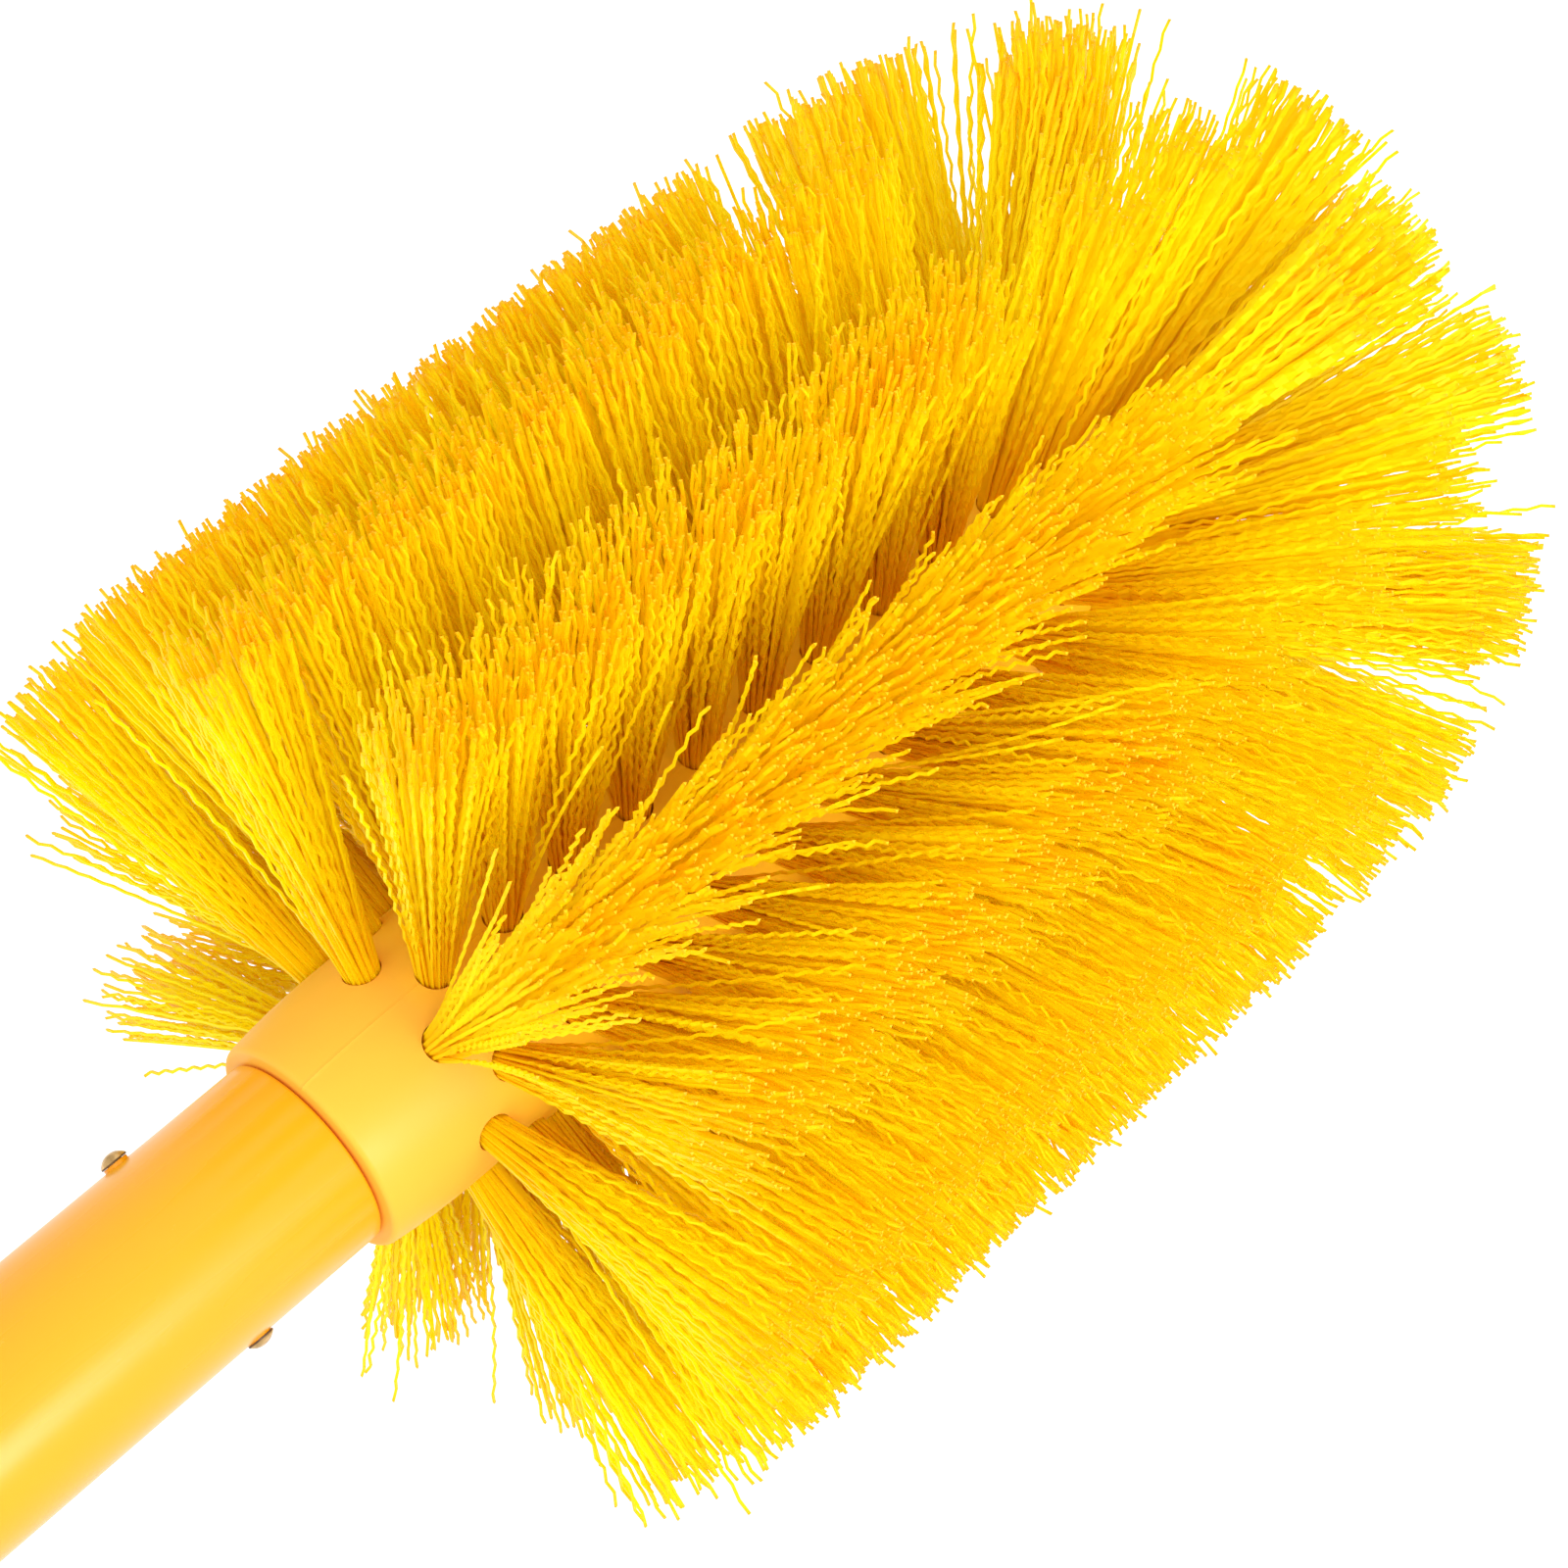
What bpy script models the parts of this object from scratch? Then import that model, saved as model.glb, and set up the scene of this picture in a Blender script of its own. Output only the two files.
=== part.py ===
"""Tank brush: a round head of crimped bristle tufts on a plastic block, pinned into a long handle tube.

The brush hangs head down from the hole in its end cap. The origin is the middle of that hole, +Z is up, and
the two pins lie on the X axis. Places along the brush are counted from the seam between tube and block,
towards the bristles' front end.
"""

import math

import bmesh
import bpy
from mathutils import Matrix, Vector

# Whole brush
OVERALL_LENGTH = 0.762
HEAD_DIAMETER = 0.127
SEAT_GAP = 0.0003
CUT_OVERRUN = 0.002
ROUND_STEPS = 56

# Handle tube
TUBE_DIAMETER = 0.0254
TUBE_WALL = 0.002

# Brush block
BLOCK_DIAMETER = 0.031
BLOCK_BODY_LENGTH = 0.131
NOSE_ROUNDING = 0.012
SPIGOT_LENGTH = 0.045
SPIGOT_CHAMFER = 0.001
LIP_ROUNDING = 0.0012
LIP_DIAMETER = 0.029
FLARE_LENGTH = 0.014

# Tufts
ROW_COUNT = 14
TUFTS_PER_ROW = 11
FIRST_TUFT = 0.0155
LAST_TUFT_SETBACK = 0.002625
STAGGER_SHARE = 0.5
EVEN_ROW_LAST_LEANS = (math.radians(3), math.radians(34))
ODD_ROW_LAST_LEANS = (math.radians(12), math.radians(20))
OUTER_RING_LEAN = math.radians(25)
MIDDLE_RING_LEAN = math.radians(42)
INNER_RING_LEAN = math.radians(72)

# Strands that stand for the bristles of a tuft
STRANDS_PER_TUFT = 3
STRANDS_PER_NOSE_TUFT = 2
STRAND_RADIUS = 0.00062
STRAND_TIP_RADIUS = 0.0008
STRAND_ROOT_DEPTH = 0.001
STRAND_RING_RADIUS = 0.001
STRAND_SPREAD_RADIUS = 0.0045

# Slice of the block that carries one row
STRIP_WIDTH = 0.0038
STRIP_DEPTH = 0.0022
STRIP_LEAD = 0.0028

# Pins
PIN_SETBACK = 0.0185
PIN_SHANK_DIAMETER = 0.002
PIN_SHANK_LENGTH = 0.009
PIN_POINT_LENGTH = 0.0015
PIN_HEAD_DIAMETER = 0.0036
PIN_HEAD_HEIGHT = 0.0015
PIN_CLEARANCE = 0.0003
PROUD_PIN_NECK = 0.0006
PIN_STEPS = 16

# End cap with the hang hole
HANG_HOLE_DIAMETER = 0.010
TANG_RIM = 0.0055
TANG_THICKNESS = 0.008
TANG_DROP = 0.020
CAP_FLANGE_THICKNESS = 0.0025
CAP_PLUG_LENGTH = 0.022
CAP_PLUG_CHAMFER = 0.001

# Heights and radii that follow from the sizes above
TANG_RADIUS = HANG_HOLE_DIAMETER / 2 + TANG_RIM
BRISTLE_LENGTH = (HEAD_DIAMETER - BLOCK_DIAMETER) / 2
BLOCK_RADIUS = BLOCK_DIAMETER / 2
BLOCK_LENGTH = BLOCK_BODY_LENGTH + NOSE_ROUNDING
SEAM_Z = TANG_RADIUS - OVERALL_LENGTH + BRISTLE_LENGTH + BLOCK_LENGTH
TUBE_RADIUS = TUBE_DIAMETER / 2
TUBE_BORE_RADIUS = TUBE_RADIUS - TUBE_WALL
PLUG_RADIUS = TUBE_BORE_RADIUS - SEAT_GAP
FLANGE_TOP_Z = -TANG_DROP
FLANGE_FOOT_Z = FLANGE_TOP_Z - CAP_FLANGE_THICKNESS
TUBE_TOP_Z = FLANGE_FOOT_Z - SEAT_GAP
TUBE_FOOT_Z = SEAM_Z + SEAT_GAP
STRIP_TOP = math.sqrt(BLOCK_RADIUS ** 2 - (STRIP_WIDTH / 2) ** 2)
STRIP_FLOOR = STRIP_TOP - STRIP_DEPTH
LAST_TUFT = BLOCK_BODY_LENGTH - LAST_TUFT_SETBACK
TUFT_PITCH = (LAST_TUFT - FIRST_TUFT) / (TUFTS_PER_ROW - 1 + STAGGER_SHARE)
NOSE_RING_TUFTS = ROW_COUNT // 2

# Colours as linear red, green and blue
TUBE_COLOUR = (0.97, 0.51, 0.045)
BLOCK_COLOUR = (0.98, 0.66, 0.07)
BRISTLE_COLOUR = (0.99, 0.60, 0.005)
CAP_COLOUR = (0.97, 0.51, 0.045)
BRASS_COLOUR = (0.55, 0.45, 0.25)


def clear_scene():
    for thing in list(bpy.data.objects):
        bpy.data.objects.remove(thing, do_unlink=True)


def material(name, colour, roughness, metallic=0.0):
    paint = bpy.data.materials.new(name)
    paint.use_nodes = True
    shader = paint.node_tree.nodes["Principled BSDF"]
    shader.inputs["Base Color"].default_value = (*colour, 1.0)
    shader.inputs["Roughness"].default_value = roughness
    shader.inputs["Metallic"].default_value = metallic
    paint.diffuse_color = (*colour, 1.0)
    return paint


def add_object(name, mesh, paint=None):
    thing = bpy.data.objects.new(name, mesh)
    bpy.context.scene.collection.objects.link(thing)
    if paint:
        mesh.materials.append(paint)
    return thing


def smooth(mesh):
    mesh.shade_smooth()
    mesh.set_sharp_from_angle(angle=math.radians(30))


def mesh_from(name, points, faces):
    """A mesh whose faces all look outward."""
    mesh = bpy.data.meshes.new(name)
    mesh.from_pydata(points, [], faces)
    work = bmesh.new()
    work.from_mesh(mesh)
    bmesh.ops.recalc_face_normals(work, faces=work.faces)
    work.to_mesh(mesh)
    work.free()
    return mesh


def lathe(name, outline, steps):
    """Turns a closed outline of (radius, height) points about Z. Points of radius 0 become poles."""
    points = []
    rings = []
    for radius, height in outline:
        if radius == 0:
            rings.append([len(points)] * steps)
            points.append((0, 0, height))
            continue
        rings.append(list(range(len(points), len(points) + steps)))
        for step in range(steps):
            turn = 2 * math.pi * step / steps
            points.append((radius * math.cos(turn), radius * math.sin(turn), height))
    faces = []
    for this_ring, next_ring in zip(rings, rings[1:] + rings[:1]):
        for step in range(steps):
            after = (step + 1) % steps
            corners = [this_ring[step], this_ring[after], next_ring[after], next_ring[step]]
            corners = list(dict.fromkeys(corners))
            if len(corners) > 2:
                faces.append(corners)
    mesh = mesh_from(name, points, faces)
    smooth(mesh)
    return mesh


def arc(centre_radius, centre_height, radius, start, stop, steps):
    """Points of an outline's round stretch; angle 0 points away from the axis and 90 degrees up."""
    turns = [start + (stop - start) * step / steps for step in range(steps + 1)]
    return [(centre_radius + radius * math.cos(t), centre_height + radius * math.sin(t)) for t in turns]


def outward(turn):
    """The direction away from the brush's axis at an angle round it. Angle 0 is -Y."""
    return Vector((-math.sin(turn), -math.cos(turn), 0))


def cut(target, cutter, operation="DIFFERENCE"):
    """Cuts or joins with a hidden guide object."""
    cutter.hide_render = True
    cutter.display_type = "WIRE"
    step = target.modifiers.new(cutter.name, "BOOLEAN")
    step.object = cutter
    step.operation = operation
    step.solver = "EXACT"
    cutter.hide_set(True)


def box_mesh(name, boxes):
    """One mesh of boxes, each given by its frame of axes and its lowest and highest corners in that frame."""
    points = []
    faces = []
    for frame, low, high in boxes:
        first = len(points)
        for x in (low[0], high[0]):
            for y in (low[1], high[1]):
                for z in (low[2], high[2]):
                    points.append(frame @ Vector((x, y, z)))
        for face in ((0, 1, 3, 2), (4, 6, 7, 5), (0, 4, 5, 1), (2, 3, 7, 6), (0, 2, 6, 4), (1, 5, 7, 3)):
            faces.append([first + corner for corner in face])
    return mesh_from(name, points, faces)


def rod_mesh(name, start, end, radius, steps=PIN_STEPS):
    """A closed cylinder between two points."""
    work = bmesh.new()
    way = end - start
    turn = way.to_track_quat("Z", "Y").to_matrix().to_4x4()
    place = Matrix.Translation((start + end) / 2) @ turn
    bmesh.ops.create_cone(work, cap_ends=True, segments=steps, radius1=radius, radius2=radius,
                          depth=way.length, matrix=place)
    mesh = bpy.data.meshes.new(name)
    work.to_mesh(mesh)
    work.free()
    return mesh


def row_turn(row):
    return 2 * math.pi * row / ROW_COUNT


def row_frame(row):
    """Axes of a row: x outward, y round the block, z up."""
    out = outward(row_turn(row))
    side = Vector((0, 0, 1)).cross(out)
    return Matrix((out, side, Vector((0, 0, 1)))).transposed().to_4x4()


def tuft_places(row):
    """Distances from the seam to a row's tufts. Every other row starts half a pitch further on."""
    start = FIRST_TUFT + TUFT_PITCH * STAGGER_SHARE * (row % 2)
    return [start + TUFT_PITCH * tuft for tuft in range(TUFTS_PER_ROW)]


def lean(row, tuft):
    """How far a tuft leans towards the front, which only the last ones of a row do."""
    last_leans = ODD_ROW_LAST_LEANS if row % 2 else EVEN_ROW_LAST_LEANS
    number = tuft - (TUFTS_PER_ROW - len(last_leans))
    return last_leans[number] if number >= 0 else 0


def strand_points(root, way, side, count):
    """Three-sided strands that stand in a ring and spread towards their tips.

    A pair stands side by side round the block, and one alone stands in the middle.
    """
    fore = way.cross(side)
    ring_radius = STRAND_RING_RADIUS if count > 1 else 0
    spread_radius = STRAND_SPREAD_RADIUS if count > 1 else 0
    strands = []
    first_turn = math.pi / 2 if count == 2 else 0
    for strand in range(count):
        turn = first_turn + 2 * math.pi * strand / count
        ring = fore * math.cos(turn) + side * math.sin(turn)
        foot = root + ring * ring_radius - way * STRAND_ROOT_DEPTH
        tip = root + ring * spread_radius + way * BRISTLE_LENGTH
        corners = []
        for centre, radius in ((foot, STRAND_RADIUS), (tip, STRAND_TIP_RADIUS)):
            for corner in range(3):
                angle = turn + 2 * math.pi * corner / 3
                corners.append(centre + (fore * math.cos(angle) + side * math.sin(angle)) * radius)
        strands.append(corners)
    return strands


def strand_mesh(name, tufts):
    """All strands of a piece as closed prisms in one guide mesh."""
    points = []
    faces = []
    for root, way, side, count in tufts:
        for corners in strand_points(root, way, side, count):
            first = len(points)
            points += corners
            for face in ((0, 2, 1), (3, 4, 5), (0, 1, 4, 3), (1, 2, 5, 4), (2, 0, 3, 5)):
                faces.append([first + corner for corner in face])
    return mesh_from(name, points, faces)


def block_outline():
    """From the spigot's end down to the flat that carries the nose."""
    lip_face = LIP_DIAMETER / 2 - LIP_ROUNDING
    flare_z = SEAM_Z - FLARE_LENGTH
    middle_radius = BLOCK_RADIUS - (BLOCK_RADIUS - LIP_DIAMETER / 2) / 4
    return [
        (0, SEAM_Z + SPIGOT_LENGTH),
        (PLUG_RADIUS - SPIGOT_CHAMFER, SEAM_Z + SPIGOT_LENGTH),
        (PLUG_RADIUS, SEAM_Z + SPIGOT_LENGTH - SPIGOT_CHAMFER),
        (PLUG_RADIUS, SEAM_Z),
        *reversed(arc(lip_face, SEAM_Z - LIP_ROUNDING, LIP_ROUNDING, 0, math.pi / 2, 4)),
        (middle_radius, SEAM_Z - FLARE_LENGTH / 2),
        (BLOCK_RADIUS, flare_z),
        (BLOCK_RADIUS, SEAM_Z - BLOCK_BODY_LENGTH),
        (0, SEAM_Z - BLOCK_BODY_LENGTH),
    ]


def groove_boxes():
    """Where the rows' strips sit, open at the block's front flat."""
    top = SEAM_Z - FIRST_TUFT + STRIP_LEAD + SEAT_GAP
    foot = SEAM_Z - BLOCK_BODY_LENGTH - CUT_OVERRUN
    half = STRIP_WIDTH / 2 + SEAT_GAP
    low = (STRIP_FLOOR - SEAT_GAP, -half, foot)
    high = (BLOCK_RADIUS + CUT_OVERRUN, half, top)
    return [(row_frame(row), low, high) for row in range(ROW_COUNT)]


def pin_place(side):
    """The point on the tube's surface under a pin's head."""
    return Vector((side * TUBE_RADIUS, 0, SEAM_Z + PIN_SETBACK))


def pin_hole(side):
    """A guide rod for a pin's hole in the tube and the spigot."""
    name = f"pin_hole_guide_{'left' if side < 0 else 'right'}"
    mouth = pin_place(side)
    inner = mouth - Vector((side, 0, 0)) * (PIN_SHANK_LENGTH + PIN_CLEARANCE)
    outer = mouth + Vector((side, 0, 0)) * CUT_OVERRUN
    return add_object(name, rod_mesh(name, inner, outer, PIN_SHANK_DIAMETER / 2 + PIN_CLEARANCE))


def brush_block(pin_guides):
    paint = material("block_plastic", BLOCK_COLOUR, 0.4)
    block = add_object("brush_block", lathe("brush_block", block_outline(), ROUND_STEPS), paint)
    cut(block, add_object("groove_guide", box_mesh("groove_guide", groove_boxes())))
    for guide in pin_guides:
        cut(block, guide)


def handle_tube(pin_guides):
    paint = material("tube_plastic", TUBE_COLOUR, 0.25)
    outline = [(TUBE_BORE_RADIUS, TUBE_TOP_Z), (TUBE_RADIUS, TUBE_TOP_Z),
               (TUBE_RADIUS, TUBE_FOOT_Z), (TUBE_BORE_RADIUS, TUBE_FOOT_Z)]
    tube = add_object("handle_tube", lathe("handle_tube", outline, ROUND_STEPS), paint)
    for guide in pin_guides:
        cut(tube, guide)


def pin(name, side, neck, paint):
    """A round-head drive pin: dome, shank and point, turned about Z and laid along X."""
    head = PIN_HEAD_DIAMETER / 2
    shank = PIN_SHANK_DIAMETER / 2
    dome = (head ** 2 + PIN_HEAD_HEIGHT ** 2) / (2 * PIN_HEAD_HEIGHT)
    rim = math.asin((dome - PIN_HEAD_HEIGHT) / dome)
    tip_z = neck - PIN_SHANK_LENGTH
    outline = [
        (0, neck + PIN_HEAD_HEIGHT),
        *reversed(arc(0, neck + PIN_HEAD_HEIGHT - dome, dome, rim, math.pi / 2 - rim / 4, 4)),
        (shank, neck),
        (shank, tip_z + PIN_POINT_LENGTH),
        (0, tip_z),
    ]
    mesh = lathe(name, outline, PIN_STEPS)
    mesh.transform(Matrix.Rotation(side * math.pi / 2, 4, "Y"))
    nail = add_object(name, mesh, paint)
    nail.location = pin_place(side)


def tuft_row(row, paint):
    """A slice of the block with the strands of one row."""
    name = f"tuft_row_{row + 1:02d}"
    frame = row_frame(row)
    low = (STRIP_FLOOR, -STRIP_WIDTH / 2, SEAM_Z - BLOCK_BODY_LENGTH)
    high = (STRIP_TOP, STRIP_WIDTH / 2, SEAM_Z - FIRST_TUFT + STRIP_LEAD)
    strip = add_object(name, box_mesh(name, [(frame, low, high)]), paint)
    out = outward(row_turn(row))
    side = Vector((0, 0, 1)).cross(out)
    tufts = []
    for tuft, place in enumerate(tuft_places(row)):
        root = out * STRIP_TOP + Vector((0, 0, SEAM_Z - place))
        tilt = lean(row, tuft)
        way = out * math.cos(tilt) - Vector((0, 0, math.sin(tilt)))
        tufts.append((root, way, side, STRANDS_PER_TUFT))
    guide = f"strand_guide_{row + 1:02d}"
    cut(strip, add_object(guide, strand_mesh(guide, tufts)), "UNION")


def nose_tufts(paint):
    """The block's rounded front end with the tufts that fan forward."""
    flat_z = SEAM_Z - BLOCK_BODY_LENGTH
    core = BLOCK_RADIUS - NOSE_ROUNDING
    top_z = flat_z - SEAT_GAP
    rounding = NOSE_ROUNDING - SEAT_GAP
    outline = [(0, top_z), (core, top_z)]
    outline += arc(core, top_z, rounding, 0, -math.pi / 2, 7)
    outline.append((0, top_z - rounding))
    nose = add_object("nose_tufts", lathe("nose_tufts", outline, ROUND_STEPS // 2), paint)
    tufts = []
    rings = (
        (0, OUTER_RING_LEAN, STRANDS_PER_NOSE_TUFT),
        (STAGGER_SHARE, MIDDLE_RING_LEAN, STRANDS_PER_NOSE_TUFT),
        (0, INNER_RING_LEAN, 1),
    )
    for offset_share, tilt, count in rings:
        for tuft in range(NOSE_RING_TUFTS):
            out = outward(2 * math.pi * (tuft + offset_share) / NOSE_RING_TUFTS)
            way = out * math.cos(tilt) - Vector((0, 0, math.sin(tilt)))
            root = out * core + Vector((0, 0, top_z)) + way * rounding
            tufts.append((root, way, Vector((0, 0, 1)).cross(out), count))
    tip = Vector((0, 0, top_z - rounding))
    tufts.append((tip, Vector((0, 0, -1)), Vector((1, 0, 0)), 1))
    cut(nose, add_object("nose_strand_guide", strand_mesh("nose_strand_guide", tufts)), "UNION")


def tang_mesh(name):
    """A flat tab with a round top, its middle at the origin, reaching down into the flange."""
    foot = FLANGE_TOP_Z - CAP_FLANGE_THICKNESS / 2
    turns = [math.pi * step / 16 for step in range(17)]
    rim = [(TANG_RADIUS * math.cos(t), TANG_RADIUS * math.sin(t)) for t in turns]
    rim += [(-TANG_RADIUS, foot), (TANG_RADIUS, foot)]
    half = TANG_THICKNESS / 2
    points = [(x, -half, z) for x, z in rim] + [(x, half, z) for x, z in rim]
    count = len(rim)
    faces = [list(range(count)), list(range(2 * count - 1, count - 1, -1))]
    for corner in range(count):
        after = (corner + 1) % count
        faces.append([corner, after, count + after, count + corner])
    return mesh_from(name, points, faces)


def hang_cap():
    """A plug in the tube's open end with a flange and a flat tab for the hang hole."""
    paint = material("cap_plastic", CAP_COLOUR, 0.35)
    plug_foot = TUBE_TOP_Z - CAP_PLUG_LENGTH
    outline = [
        (0, FLANGE_TOP_Z),
        (TUBE_RADIUS, FLANGE_TOP_Z),
        (TUBE_RADIUS, FLANGE_FOOT_Z),
        (PLUG_RADIUS, FLANGE_FOOT_Z),
        (PLUG_RADIUS, plug_foot + CAP_PLUG_CHAMFER),
        (PLUG_RADIUS - CAP_PLUG_CHAMFER, plug_foot),
        (0, plug_foot),
    ]
    cap = add_object("hang_cap", lathe("hang_cap", outline, ROUND_STEPS // 2), paint)
    cut(cap, add_object("tang_guide", tang_mesh("tang_guide")), "UNION")
    reach = Vector((0, TANG_THICKNESS / 2 + CUT_OVERRUN, 0))
    hole = rod_mesh("hang_hole_guide", -reach, reach, HANG_HOLE_DIAMETER / 2, ROUND_STEPS // 2)
    cut(cap, add_object("hang_hole_guide", hole))


def main():
    clear_scene()
    pin_guides = [pin_hole(-1), pin_hole(1)]
    brush_block(pin_guides)
    handle_tube(pin_guides)
    hang_cap()
    brass = material("pin_brass", BRASS_COLOUR, 0.3, 1.0)
    pin("tube_pin_left", -1, PIN_CLEARANCE, brass)
    pin("tube_pin_right", 1, PROUD_PIN_NECK, brass)
    bristle = material("bristle_polyester", BRISTLE_COLOUR, 0.5)
    for row in range(ROW_COUNT):
        tuft_row(row, bristle)
    nose_tufts(bristle)


main()
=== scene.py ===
import math

import bmesh
import bpy
import numpy as np
from mathutils import Matrix, Vector


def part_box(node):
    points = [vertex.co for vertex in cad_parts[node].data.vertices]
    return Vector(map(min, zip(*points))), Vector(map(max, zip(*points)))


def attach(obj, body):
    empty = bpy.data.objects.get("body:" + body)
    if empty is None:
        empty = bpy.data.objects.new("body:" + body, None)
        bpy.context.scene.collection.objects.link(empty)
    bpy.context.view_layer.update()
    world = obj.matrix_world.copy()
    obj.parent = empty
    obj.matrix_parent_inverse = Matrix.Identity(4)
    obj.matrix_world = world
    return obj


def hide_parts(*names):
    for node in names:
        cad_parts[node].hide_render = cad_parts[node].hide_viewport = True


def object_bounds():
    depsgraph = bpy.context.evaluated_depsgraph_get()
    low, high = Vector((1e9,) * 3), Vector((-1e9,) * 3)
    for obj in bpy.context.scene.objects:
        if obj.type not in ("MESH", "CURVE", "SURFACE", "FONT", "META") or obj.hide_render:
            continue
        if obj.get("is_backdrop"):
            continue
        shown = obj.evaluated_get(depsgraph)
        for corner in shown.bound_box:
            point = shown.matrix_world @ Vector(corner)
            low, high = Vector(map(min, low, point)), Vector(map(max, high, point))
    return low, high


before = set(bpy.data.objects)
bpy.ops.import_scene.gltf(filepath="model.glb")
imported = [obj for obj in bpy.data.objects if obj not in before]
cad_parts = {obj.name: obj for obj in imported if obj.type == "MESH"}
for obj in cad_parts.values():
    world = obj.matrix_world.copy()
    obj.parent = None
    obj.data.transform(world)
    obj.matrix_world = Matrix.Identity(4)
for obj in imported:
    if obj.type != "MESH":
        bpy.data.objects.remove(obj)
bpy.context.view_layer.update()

# Sizes of the real brush, in metres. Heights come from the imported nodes.
SEAT_GAP = 0.0003
EDGE_BREAK = 0.0004
ROUND_SIDES = 168

# Handle tube
TUBE_FOOT_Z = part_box("handle_tube")[0].z
TUBE_TOP_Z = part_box("handle_tube")[1].z
TUBE_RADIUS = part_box("handle_tube")[1].x
TUBE_WALL = 0.002
SEAM_Z = TUBE_FOOT_Z - SEAT_GAP

# Brush block
BLOCK_RADIUS = 0.0155
BLOCK_BODY_LENGTH = SEAM_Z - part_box("brush_block")[0].z
NOSE_ROUNDING = 0.012
BLOCK_LENGTH = BLOCK_BODY_LENGTH + NOSE_ROUNDING
SPIGOT_TOP_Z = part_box("brush_block")[1].z
PLUG_RADIUS = TUBE_RADIUS - TUBE_WALL - SEAT_GAP
LIP_RADIUS = 0.0145
LIP_ROUNDING = 0.0007
FLARE_LENGTH = 0.014
MOULD_LINE_WIDTH = 0.00009
MOULD_LINE_HEIGHT = 0.00005

# Pins. The right one stands prouder than the left one.
LEFT, RIGHT = -1, 1
PIN_Z = SEAM_Z + 0.0185
PIN_HEAD_RADIUS = 0.00175
PIN_HEAD_HEIGHTS = {LEFT: 0.0008, RIGHT: 0.001}
PIN_RIM = 0.0002
PIN_CLEARANCE = 0.00003
PIN_SHANK_RADIUS = 0.001
PIN_SHANK_LENGTH = 0.0075
PIN_POINT_LENGTH = 0.0015
PIN_POINT_SHARE = 0.05
COLLAR_RADIUS = 0.0016
COLLAR_HEIGHTS = {LEFT: 0.00005, RIGHT: 0.0004}
COLLAR_SIDES = 40

# End cap
FLANGE_THICKNESS = 0.0025
FLANGE_FOOT_Z = TUBE_TOP_Z + SEAT_GAP
FLANGE_TOP_Z = FLANGE_FOOT_Z + FLANGE_THICKNESS
CAP_PLUG_LENGTH = 0.022
CAP_EDGE_BREAK = 0.0008
TAB_RADIUS = 0.0105
TAB_THICKNESS = 0.008
TAB_SEAT = 0.001
HANG_HOLE_RADIUS = 0.005

# Tufts
ROW_COUNT = 14
TUFTS_PER_ROW = 11
STAGGER_SHARE = 0.5
FIRST_TUFT = 0.0155
LAST_TUFT = BLOCK_BODY_LENGTH - 0.002625
TUFT_PITCH = (LAST_TUFT - FIRST_TUFT) / (TUFTS_PER_ROW - STAGGER_SHARE)
EVEN_ROW_LAST_LEANS = (math.radians(3), math.radians(34))
ODD_ROW_LAST_LEANS = (math.radians(12), math.radians(20))
NOSE_RING_LEANS = (math.radians(25), math.radians(42), math.radians(72))
NOSE_RING_NAMES = ("outer", "middle", "inner")
NOSE_RING_TUFTS = ROW_COUNT // 2
BRISTLE_LENGTH = 0.048
HOLE_RADIUS = 0.00245
HOLE_DEPTH = 0.004

# Degrees by which single tufts lean further forward than their row or ring, as in the photograph
ROW_SHIFTS = {(0, 10): 4, (1, 7): -4, (1, 10): 3, (2, 7): 4, (2, 9): 4, (3, 7): 6, (3, 8): 4, (3, 9): 5,
              (4, 9): 4, (11, 9): 4, (11, 10): -2, (13, 6): 4, (13, 9): 4, (13, 10): 6}
RING_SHIFTS = {(0, 0): 4, (0, 6): -2, (1, 4): 3, (1, 6): 4, (2, 1): -2, (2, 3): 3, (2, 6): 4}

# Strands: a tuft's outer ones show their crimp, and its core is filled with plainer ones
CORE_STRANDS = 54
OUTER_STRANDS = 46
CORE_RINGS = 12
OUTER_RINGS = 24
STRAND_RADIUS = 0.00026
TUFT_ROOT_RADIUS = 0.0022
ROOT_DEPTH = 0.003
ROW_SEED = 100
RING_SEED = 200

# How a tuft's strands spread, bend and stray, as slopes against the tuft's own direction
FAN = 0.095
FAN_SPREAD = 0.02
BEND_SHARE = 0.25
BEND_SPREAD = 0.012
STRAY_SHARE = 0.1
STRAY_FROM = 0.7
STRAY_FAN = 0.9
STRAY_BEND = 2
STRAY_LONGER = 0.002

# How the head is trimmed. Its middle is a millimetre off the brush's axis, towards +X.
TRIM_OFF_CENTRE = 0.001
TRIM_SPREAD = 0.0006
SHORT_SHARE = 0.06
SHORT_LOSS = (0.001, 0.007)

# The crimp's wave, which starts above a straight foot
CRIMP_REACH = 0.00021
CRIMP_STRANDS_DIFFER = (0.6, 1.3)
CRIMP_WAVES_DIFFER = (0.7, 1.2)
CRIMP_FULL_AT = 0.016
STRAIGHT_FOOT = (0.005, 0.009)

# The photograph's camera, fitted to the tube's edges and the seam
CAMERA_PLACE = Vector((0.0150, -0.4520, SEAM_Z + 0.1385))
CAMERA_FACING = Vector((-0.03687, 0.90216, -0.42983))
CAMERA_UP = Vector((0.77205, -0.24737, -0.58544))
CAMERA_LENS = 92.83

LIGHT_BOUNCES = 40
FLOOR_SIZE = 12
FLOOR_DROP = 0.25

# How near two places are the same place
TOUCH = 0.00001


# Modelling by hand

def hold(thing):
    """Makes one object the only selected one, and the active one."""
    bpy.ops.object.select_all(action="DESELECT")
    thing.select_set(True)
    bpy.context.view_layer.objects.active = thing


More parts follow.
